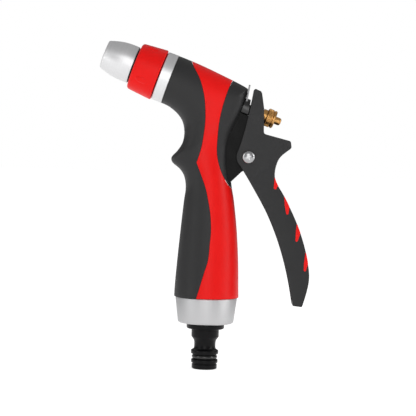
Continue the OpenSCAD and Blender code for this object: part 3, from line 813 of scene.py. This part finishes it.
class SPRAYGUN_OT_trigger(bpy.types.Operator):
    """Shape the trigger: a channel with two cheeks, an arm, a spur and a lever"""
    bl_idname = "spraygun.trigger"
    bl_label = "Trigger"

    def execute(self, context):
        settings = context.scene.gun_trigger
        inner = settings.width - 4.8 * MM
        front, middle, rear = trigger_outline()
        lever = trigger_block()
        lever.name = "trigger_shaped"
        wall = Vector((4.2 * MM, 0, 0))
        top = PIVOT.z + 39 * MM
        low = PIVOT.z - 89 * MM
        room = [p - wall for p in front + middle + rear]
        room = [Vector((p.x, 0, min(max(p.z, low), top))) for p in room]
        cut(lever, prism("channel", room, inner))
        cut(lever, rod_across("lug_room", PIVOT, 9.5 * MM, inner, 48))
        cut(lever, box_on_barrel("nut_room", (59, -5.4, -7), (80, 5.4, 7)))
        # The web with its two round pads, and the slot for the stem
        pad_s = 66 - 7.64
        web = box_on_barrel("web", (pad_s - 1.6, -inner / MM / 2 - 0.5, -5),
                            (pad_s + 0.4, inner / MM / 2 + 0.5, 6))
        cut(lever, web, "UNION")
        pads = rod_across("pads", on_axis(pad_s, -0.34), 2.9 * MM, inner + 1 * MM, 48)
        cut(lever, pads, "UNION")
        cut(lever, box_on_barrel("stem_slot", (pad_s - 8, -2.75, -4.2), (pad_s + 22, 2.75, 4.2)))
        cut(lever, rod_across("pivot_hole", PIVOT, 3.5 * MM, settings.width * 2))
        outward(lever)
        smooth(lever, 35)
        finish_piece(lever, "trigger", "trigger_black", trigger_paint(), "trigger_lever")
        return {"FINISHED"}


# Each inlay in the side view, from the pivot: its upper end, its front side, its lower end
# and its rear side
INLAYS = (
    ((16.6, -12.4), (16.2, -18.8), (17, -19.6), (18.2, -17.6)),
    ((22.9, -23.8), (23.3, -28.8), (24.9, -34.9), (26.3, -29.6)),
    ((31.2, -40.7), (30.7, -46.3), (31.2, -51.6), (33.5, -46.1)),
    ((37.2, -58.4), (36.4, -65), (36.9, -69.8), (39, -64.4)),
)


def inlay_prism(corners, grow):
    """The region of one inlay, right through the lever, grown a little all round."""
    top, front, low, rear = corners
    points = [
        (top[0] - 0.1 - grow, top[1] + grow), (front[0] - grow, front[1]),
        (low[0] - 0.5 - grow, low[1] + 0.6), (low[0] + 0.1, low[1] - grow),
        (low[0] + 0.9 + grow, low[1] + 0.5), (rear[0] + 0.1, rear[1] - grow),
        (rear[0] + 1.2, rear[1] + 0.4), (rear[0] + 1.2, top[1] + 1)]
    return prism("inlay_region", [on_trigger(*p) for p in points], 30 * MM)


class SPRAYGUN_OT_inlays(bpy.types.Operator):
    """Shape the four red inlays let into the lever's rear edge"""
    bl_idname = "spraygun.inlays"
    bl_label = "Red Inlays"

    def execute(self, context):
        skin = trigger_block()
        apply_modifier(skin, "DISPLACE", strength=0.12 * MM, mid_level=0)
        core = trigger_block()
        apply_modifier(core, "DISPLACE", strength=-0.9 * MM, mid_level=0)
        cut(skin, core)
        bars = []
        for corners in INLAYS:
            bar = copy_of(skin, "inlay_bar")
            cut(bar, inlay_prism(corners, 0), "INTERSECT")
            bars.append(bar)
        inlays = joined(bars, "trigger_inlays_shaped")
        bpy.data.objects.remove(skin)
        outward(inlays)
        smooth(inlays, 35)
        finish_piece(inlays, "trigger", "red_grip", grip_red(), "trigger_inlays")
        return {"FINISHED"}


# ---------------------------------------------------------------------------
# Fittings
# ---------------------------------------------------------------------------

class SPRAYGUN_OT_adjusting_nut(bpy.types.Operator):
    """Shape the knurled adjusting nut that turns on the stem"""
    bl_idname = "spraygun.adjusting_nut"
    bl_label = "Adjusting Nut"

    def execute(self, context):
        low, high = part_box("adjusting_nut")
        outer = (high.y - low.y) / 2 / MM
        front, long = 64.06, 5.8
        bore = 2.46
        nut = turned("adjusting_nut_shaped", [
            (bore, front), (outer - 0.9, front), (outer - 0.35, front + 0.2),
            (outer, front + 0.6), (outer, front + 3.1), (outer - 0.15, front + 3.4),
            (outer - 0.5, front + 3.65), (outer - 0.5, front + 3.95), (outer - 0.3, front + 4.15),
            (outer - 0.1, front + 4.4), (outer - 0.1, front + 5.1), (outer - 0.5, front + 5.6),
            (outer - 1, front + long), (bore, front + long)], 120)
        flutes = []
        for k in range(36):
            angle = math.tau * k / 36
            deselect()
            bpy.ops.mesh.primitive_cylinder_add(
                vertices=6, radius=0.27 * MM, depth=(long + 2) * MM,
                location=((outer + 0.05) * MM * math.cos(angle),
                          (outer + 0.05) * MM * math.sin(angle), (front + long / 2) * MM),
                rotation=(0, 0, angle))
            flutes.append(named("flute"))
        cut(nut, settle(joined(flutes, "flutes")))
        onto_barrel(nut)
        outward(nut)
        smooth(nut, 30)
        finish_piece(nut, "adjuster", "brass", brass(), "adjusting_nut")
        return {"FINISHED"}


class SPRAYGUN_OT_nozzle_tip(bpy.types.Operator):
    """Shape the brushed tip that the jet leaves by"""
    bl_idname = "spraygun.nozzle_tip"
    bl_label = "Nozzle Tip"

    def execute(self, context):
        front, rear = -43.9, -24.6
        side = []
        for k in range(17):
            u = k / 16
            bulge = 1.1 * math.sin(math.pi * u)
            side.append((8.9 + 2.8 * u + bulge, front + 0.3 + (rear - 0.6 - front) * u))
        tip = turned("nozzle_tip_shaped", [
            (3, front + 2.9), (3, front + 1.5), (4.2, front + 0.9), (6.4, front + 0.6),
            (6.8, front), (8.5, front)] + side + [
                (11.45, rear), (11.15, rear), (11.15, -25.2), (10.75, -25.2), (10.75, -19.2),
                (9.35, -19.2), (9.35, -21.1), (6.4, -21.1), (6.4, -37.2)], 144)
        onto_barrel(tip)
        outward(tip)
        smooth(tip, 25)
        finish_piece(tip, "head", "brushed_aluminium", aluminium(), "nozzle_tip")
        return {"FINISHED"}


class SPRAYGUN_OT_base_collar(bpy.types.Operator):
    """Shape the satin collar under the grips, with a skirt round the connector's seal"""
    bl_idname = "spraygun.base_collar"
    bl_label = "Base Collar"

    def execute(self, context):
        low, high = (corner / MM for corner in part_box("base_collar"))
        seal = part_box("base_seal")[1].x / MM
        foot, corner, skirt = high.x - 1.75, 1.5, 1
        collar = turned("base_collar_shaped", [
            (13.1, low.z), (seal + 0.3, low.z), (seal + 0.3, low.z - skirt)]
            + arc(foot - corner, low.z - skirt + corner, corner, -90, -4, 8) + [
                (high.x, high.z - 0.7), (high.x - 0.15, high.z - 0.3),
                (high.x - 0.7, high.z), (13.1, high.z)], 144)
        outward(collar)
        smooth(collar, 30)
        finish_piece(collar, "root", "satin_silver", satin_silver(), "base_collar")
        return {"FINISHED"}


class SPRAYGUN_OT_hose_connector(bpy.types.Operator):
    """Shape the hose connector with its rounded ribs, and its sealing ring"""
    bl_idname = "spraygun.hose_connector"
    bl_label = "Hose Connector"

    def execute(self, context):
        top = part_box("hose_connector")[1].z / MM
        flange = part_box("hose_connector")[1].x / MM
        connector = turned("hose_connector_shaped", [
            (4.75, 0.7), (5.3, 0)] + arc(6.9, 1, 1, -90, 0, 6) + [
                (7.9, 2.9), (7.5, 3.15), (7.5, 3.5)]
            + arc(7.75, 4.4, 0.6, -90, 0, 4) + arc(7.75, 5.5, 0.6, 0, 90, 4) + [
                (6.7, 6.2), (6.7, 9.2)]
            + arc(7.85, 10.1, 0.75, -90, 0, 5) + arc(7.85, 11.3, 0.75, 0, 80, 5) + [
                (7.1, 12.6), (6.75, 13.3), (6.65, 15), (6.75, 17.2), (7.1, 18.3), (7.9, 19.4),
                (8.45, 20.1), (8.6, 20.6), (8.6, 25.1), (flange - 0.7, 25.3),
                (flange - 0.2, 25.6), (flange, 26.1), (flange, 28.1), (flange - 0.3, 28.5),
                (9.6, 28.5), (9.6, top), (4.75, top)], 128)
        outward(connector)
        smooth(connector, 32)
        finish_piece(connector, "root", "black_plastic", fitting_plastic(), "hose_connector")
        deselect()
        bpy.ops.mesh.primitive_torus_add(
            major_segments=128, minor_segments=24, major_radius=6.95 * MM,
            minor_radius=1.05 * MM, location=(0, 0, 7.65 * MM))
        ring = settle(named("connector_oring_shaped"))
        edit_all(ring)
        bpy.ops.transform.resize(value=(1, 1, 1.12), center_override=(0, 0, 7.65 * MM))
        bpy.ops.object.mode_set(mode="OBJECT")
        smooth(ring, 180)
        finish_piece(ring, "root", "black_seal", seal_rubber(), "connector_oring")
        return {"FINISHED"}


class SPRAYGUN_OT_pivot_screw(bpy.types.Operator):
    """Shape the pivot screw's domed head with its cross recess"""
    bl_idname = "spraygun.pivot_screw"
    bl_label = "Pivot Screw"

    def execute(self, context):
        low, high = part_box("pivot_screw")
        head = (high.x - low.x) / 2 / MM
        shank = 2.5
        face = -low.y / MM - 2
        dome = arc(0, 0, 1, 0, 84, 9)
        screw = turned("pivot_screw_shaped", [(0.05, 0), (shank, 0), (shank, face)]
                       + [(head * c, face + 0.15 + 1.85 * h) for c, h in dome]
                       + [(0.05, face + 2)], 64)
        arms = []
        for turn in (0, math.pi / 2):
            deselect()
            bpy.ops.mesh.primitive_cube_add(
                size=MM, location=(0, 0, (face + 2.1) * MM), rotation=(0, 0, turn))
            arm = named("cross_arm")
            arm.scale = (3.6, 0.7, 1.9)
            arms.append(settle(arm))
        for arm in arms:
            cut(screw, arm)
        turn = Matrix.Rotation(math.radians(24), 4, "Z")
        lie = Matrix.Rotation(math.pi / 2, 4, "X")
        screw.matrix_world = Matrix.Translation(PIVOT) @ lie @ turn
        settle(screw)
        outward(screw)
        smooth(screw, 32)
        finish_piece(screw, "root", "polished_steel", polished_steel(), "pivot_screw")
        return {"FINISHED"}


class SPRAYGUN_OT_twist_ring(bpy.types.Operator):
    """Shape the soft twist ring with its raised thumb marks"""
    bl_idname = "spraygun.twist_ring"
    bl_label = "Twist Ring"

    def execute(self, context):
        front, rear, inner = -23.8, -7.4, 13.05
        front_r, rear_r, corner = 14.9, 16.2, 1.8
        ring = turned("twist_ring_shaped", [(inner, front + 0.5)]
                      + arc(front_r - corner, front + corner, corner, -88, -4, 8)
                      + [(front_r + 0.45, front + 6), (front_r + 0.9, front + 11),
                         (rear_r, rear - 0.9)]
                      + arc(rear_r - 0.7, rear - 0.7, 0.7, 10, 88, 4) + [(inner, rear)], 144)
        marks = []
        for k in range(4):
            angle = math.radians(-62 + 90 * k)
            deselect()
            bpy.ops.mesh.primitive_uv_sphere_add(
                segments=32, ring_count=16, radius=MM,
                location=(15.1 * MM * math.cos(angle), 15.1 * MM * math.sin(angle),
                          (front + 8.6) * MM), rotation=(0, 0, angle))
            mark = named("thumb_mark")
            mark.scale = (0.95, 2.1, 4.9)
            marks.append(settle(mark))
        for mark in marks:
            cut(ring, mark, "UNION")
        onto_barrel(ring)
        outward(ring)
        smooth(ring, 40)
        finish_piece(ring, "head", "red_grip", grip_red(), "twist_ring")
        return {"FINISHED"}


# ---------------------------------------------------------------------------
# Finishes of the nodes whose shape is right
# ---------------------------------------------------------------------------

def node_finishes():
    return {
        "body_core": gloss_black, "front_band": aluminium,
        "base_seal": seal_rubber, "connector_washer": seal_rubber,
        "gland_nut": gloss_black, "gland_oring": seal_rubber, "rear_plate": spring_steel,
        "dust_boot": seal_rubber, "valve_seat": nylon, "valve_spring": polished_steel,
        "spring_washer": polished_steel, "spray_pin": nylon, "valve_stem": brass,
        "plug_disc": brass, "plug_seal": seal_rubber, "plug_nut": brass,
        "thrust_washer": brass, "pivot_nut": polished_steel, "pivot_bushes": nylon,
        "head_sleeve": fitting_plastic, "head_oring": seal_rubber,
    }


class SPRAYGUN_OT_finishes(bpy.types.Operator):
    """Give every node that keeps its shape its finish"""
    bl_idname = "spraygun.finishes"
    bl_label = "Finishes"

    def execute(self, context):
        for name, maker in node_finishes().items():
            node = frame["nodes"][name]
            if not node.material_slots:
                node.data.materials.append(None)
            for slot in node.material_slots:
                slot.material = maker()
        return {"FINISHED"}


# ---------------------------------------------------------------------------
# Stage
# ---------------------------------------------------------------------------

def add_light(name, place, target, size, power, tint=(1, 1, 1)):
    deselect()
    bpy.ops.object.light_add(type="AREA", location=place)
    lamp = bpy.context.active_object
    lamp.name = name
    lamp.data.shape = "RECTANGLE"
    lamp.data.size, lamp.data.size_y = size
    lamp.data.energy = power
    lamp.data.color = tint
    aim = Vector(target) - Vector(place)
    lamp.rotation_euler = aim.to_track_quat("-Z", "Y").to_euler()
    return lamp


def light_the_room(scene):
    """A grey room that lights the spray gun softly, and looks white behind it."""
    world = bpy.data.worlds.new("Soft Studio")
    scene.world = world
    world.use_nodes = True
    tree = world.node_tree
    sky = tree.nodes["Background"]
    sky.inputs["Strength"].default_value = 1.0
    seen = tree.nodes.new("ShaderNodeLightPath")
    mix = tree.nodes.new("ShaderNodeMix")
    mix.data_type = "RGBA"
    mix.inputs["A"].default_value = (0.16, 0.16, 0.163, 1)
    mix.inputs["B"].default_value = (1, 1, 1, 1)
    tree.links.new(seen.outputs["Is Camera Ray"], mix.inputs["Factor"])
    tree.links.new(mix.outputs["Result"], sky.inputs["Color"])


class SPRAYGUN_OT_stage(bpy.types.Operator):
    """Lay the floor and set the lights and the camera"""
    bl_idname = "spraygun.stage"
    bl_label = "Stage"

    def execute(self, context):
        stage = context.scene.gun_stage
        deselect()
        bpy.ops.mesh.primitive_plane_add(size=14)
        floor = named("pale_floor")
        floor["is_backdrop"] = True
        paper = bpy.data.materials.new("Pale Floor")
        paper.use_nodes = True
        shader = paper.node_tree.nodes["Principled BSDF"]
        shader.inputs["Base Color"].default_value = [*stage.floor, 1]
        shader.inputs["Roughness"].default_value = 0.9
        shader.inputs["Emission Color"].default_value = (1, 1, 1, 1)
        shader.inputs["Emission Strength"].default_value = 0.62
        floor.data.materials.append(paper)
        context.scene.view_settings.view_transform = "Standard"
        light_the_room(context.scene)
        low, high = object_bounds()
        middle = (low + high) / 2
        add_light("front_softbox", (0.0, -1.5, 0.5), middle, (0.6, 1.0), 5)
        add_light("left_softbox", (-1.3, -0.75, 0.4), middle, (0.35, 1.4), 5)
        add_light("right_softbox", (1.45, -0.4, 0.4), middle, (0.3, 1.4), 9)
        deselect()
        bpy.ops.object.light_add(type="SUN", rotation=(math.radians(12), math.radians(-6), 0))
        overhead = context.active_object
        overhead.name = "overhead_light"
        overhead.data.energy = 1.0
        overhead.data.angle = math.radians(150)
        self.place_camera(context, stage)
        return {"FINISHED"}

    def place_camera(self, context, stage):
        deselect()
        target = Vector((-0.0006, 0, 0.1008))
        back = Vector((0, -math.cos(stage.elevation), math.sin(stage.elevation)))
        bpy.ops.object.camera_add(location=target + stage.distance * back)
        camera = context.active_object
        camera.name = "photo_camera"
        camera.data.sensor_width = 36
        camera.data.lens = 36 * stage.distance / 0.2602
        aim = (-back).to_track_quat("-Z", "Y").to_matrix().to_4x4()
        turn = Matrix.Rotation(stage.roll, 4, "Z")
        camera.matrix_world = Matrix.Translation(camera.location) @ aim @ turn
        camera.data.clip_start = 0.01
        context.scene.camera = camera


PIECES = (
    SPRAYGUN_OT_soft_grips, SPRAYGUN_OT_trigger, SPRAYGUN_OT_inlays,
    SPRAYGUN_OT_adjusting_nut, SPRAYGUN_OT_nozzle_tip, SPRAYGUN_OT_twist_ring,
    SPRAYGUN_OT_base_collar, SPRAYGUN_OT_hose_connector, SPRAYGUN_OT_pivot_screw,
    SPRAYGUN_OT_finishes, SPRAYGUN_OT_stage,
)


class SPRAYGUN_PT_panel(bpy.types.Panel):
    """Lists the pieces of the spray gun and their settings"""
    bl_label = "Spray Gun"
    bl_idname = "SPRAYGUN_PT_panel"
    bl_space_type = "VIEW_3D"
    bl_region_type = "UI"
    bl_category = "Spray Gun"

    def draw(self, context):
        for piece in PIECES:
            self.layout.operator(piece.bl_idname)
        for label in ("gun_grip", "gun_metal", "gun_trigger", "gun_stage"):
            settings = getattr(context.scene, label)
            box = self.layout.box()
            for name in settings.__annotations__:
                box.prop(settings, name)


def register():
    for item in SETTINGS + PIECES + (SPRAYGUN_PT_panel,):
        bpy.utils.register_class(item)
    bpy.types.Scene.gun_grip = bpy.props.PointerProperty(type=GripSettings)
    bpy.types.Scene.gun_metal = bpy.props.PointerProperty(type=MetalSettings)
    bpy.types.Scene.gun_trigger = bpy.props.PointerProperty(type=TriggerSettings)
    bpy.types.Scene.gun_stage = bpy.props.PointerProperty(type=StageSettings)


def unregister():
    for label in ("gun_grip", "gun_metal", "gun_trigger", "gun_stage"):
        delattr(bpy.types.Scene, label)
    for item in (SPRAYGUN_PT_panel,) + PIECES[::-1] + SETTINGS[::-1]:
        bpy.utils.unregister_class(item)


def main():
    register()
    for piece in PIECES:
        family, name = piece.bl_idname.split(".")
        getattr(getattr(bpy.ops, family), name)()
    deselect()


if __name__ == "__main__":
    main()
